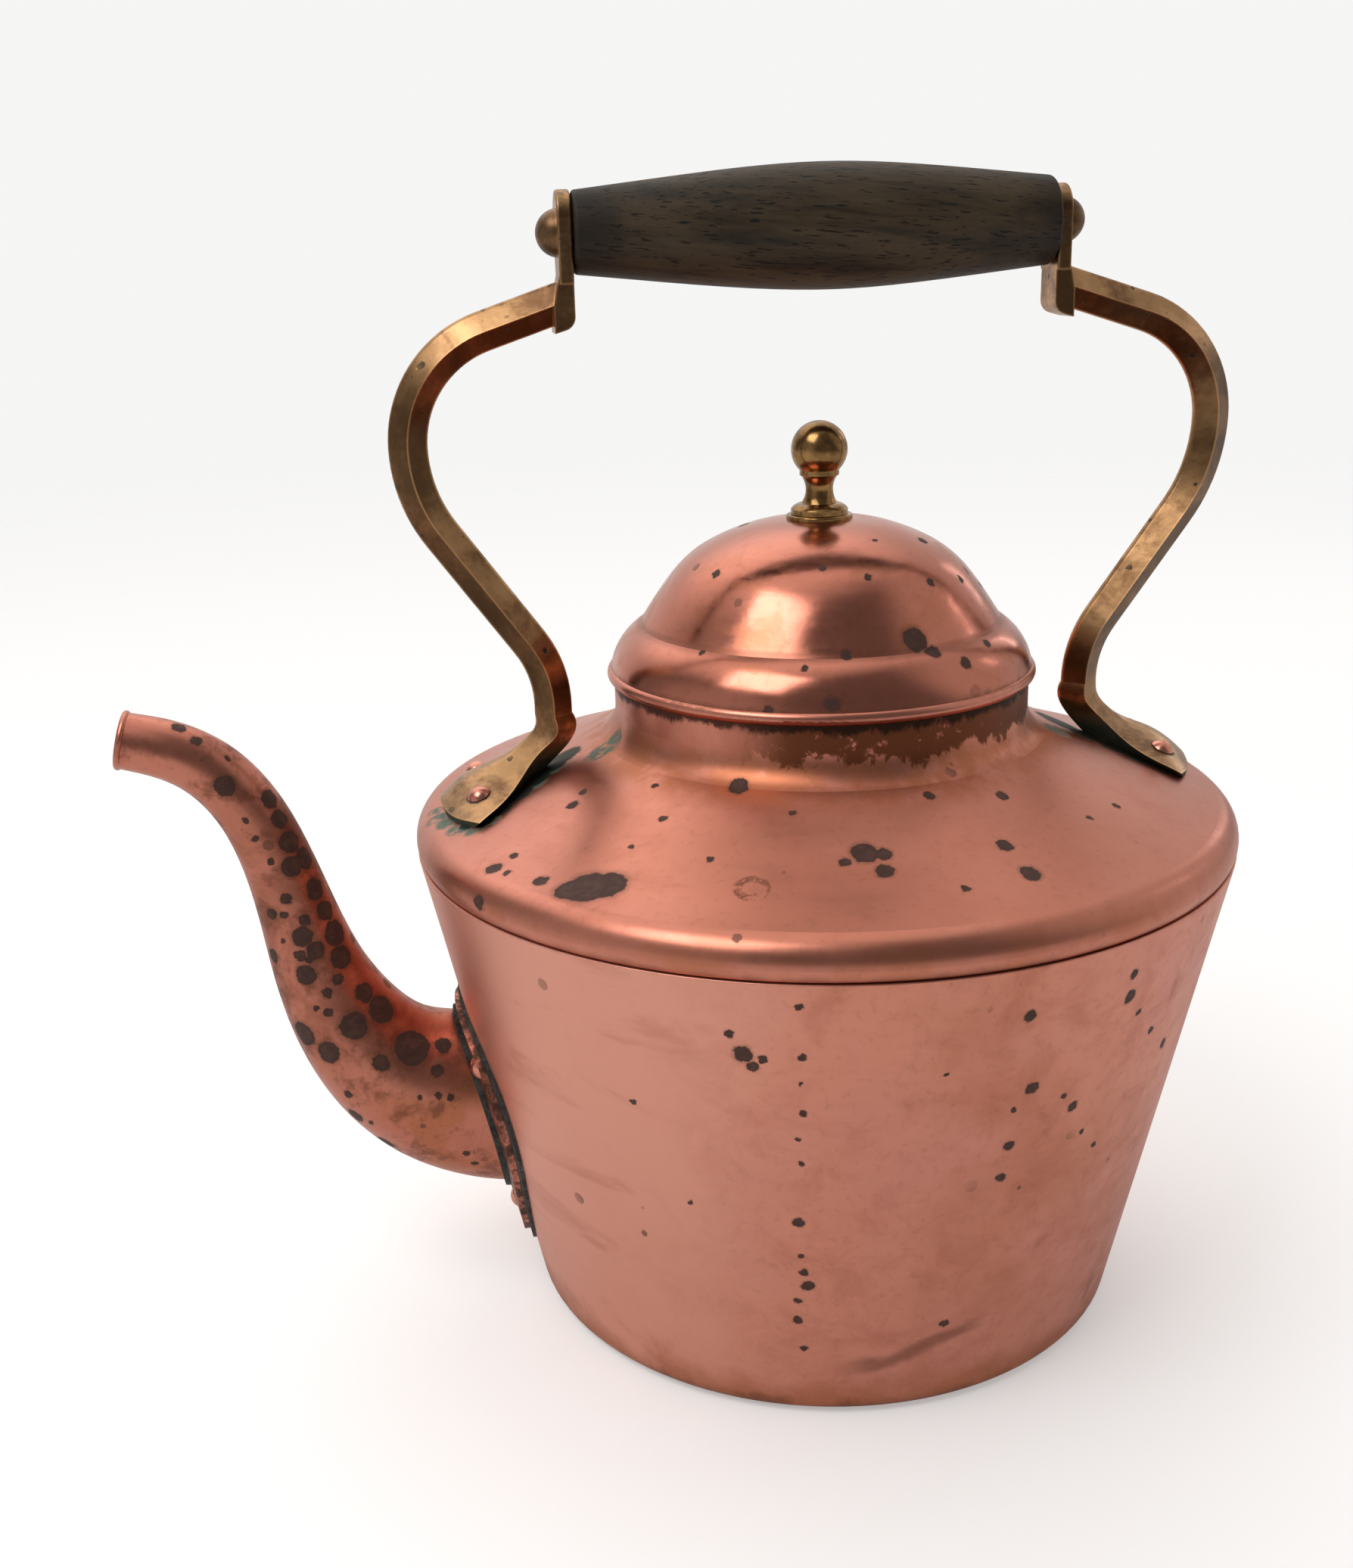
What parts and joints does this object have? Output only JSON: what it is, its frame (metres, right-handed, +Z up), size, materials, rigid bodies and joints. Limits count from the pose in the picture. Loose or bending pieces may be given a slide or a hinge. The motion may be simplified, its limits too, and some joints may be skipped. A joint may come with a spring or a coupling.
{
  "type": "kettle",
  "caption": "Round tapered copper kettle with a swan-neck spout, strap handle with a turned wooden grip, and a domed lift-off lid with a brass knob",
  "frame": {"origin": "centre of the flat base, on the surface the kettle stands on", "axes": "+Z up; the spout points along -X and the handle stands in the XZ plane; Y goes across the kettle"},
  "size_m": [0.2826, 0.21, 0.2878],
  "materials": {
    "copper_wall": "satin copper sheet with small brown spots",
    "copper_shoulder": "satin copper sheet with dark blots",
    "copper_lid": "polished copper sheet with fine tarnish",
    "copper_spout": "copper sheet with large brown blots",
    "copper_plate": "worn copper sheet",
    "copper_rivet": "bright copper rivet heads",
    "solder": "dark oxidised soft solder",
    "brass_bracket": "hand-worn brass, brown in its hollows",
    "brass_rod": "browned brass",
    "brass_knob": "dark polished brass",
    "tinned_washer": "dull tinned metal with a green tinge",
    "dark_wood": "dark open-grained hardwood, oiled by hands"
  },
  "bodies": {
    "kettle": {"body_pan": "copper_wall", "shoulder": "copper_shoulder", "spout": "copper_spout", "spout_plate": "copper_plate", "spout_solder_bed": "solder", "spout_seam": "solder", "spout_rivets": "copper_rivet", "bracket_back": "brass_bracket", "bracket_spout": "brass_bracket", "rivets_back": "copper_rivet", "rivets_spout": "copper_rivet", "handle_rod": "brass_rod"},
    "grip": {"handle_grip": "dark_wood"},
    "lid": {"lid_dome": "copper_lid", "lid_bead": "copper_lid", "lid_collar": "copper_lid", "knob": "brass_knob", "knob_washer": "tinned_washer", "knob_back_washer": "tinned_washer", "knob_nut": "brass_knob"}
  },
  "joints": [
    {"name": "lid_lift", "type": "slide", "parent": "kettle", "child": "lid", "axis": [0, 0, 1], "range_m": [0, 0.028]},
    {"name": "grip_turn", "type": "hinge", "parent": "kettle", "child": "grip", "pos_m": [0, 0, 0.2733], "axis": [1, 0, 0], "continuous": true}
  ]
}
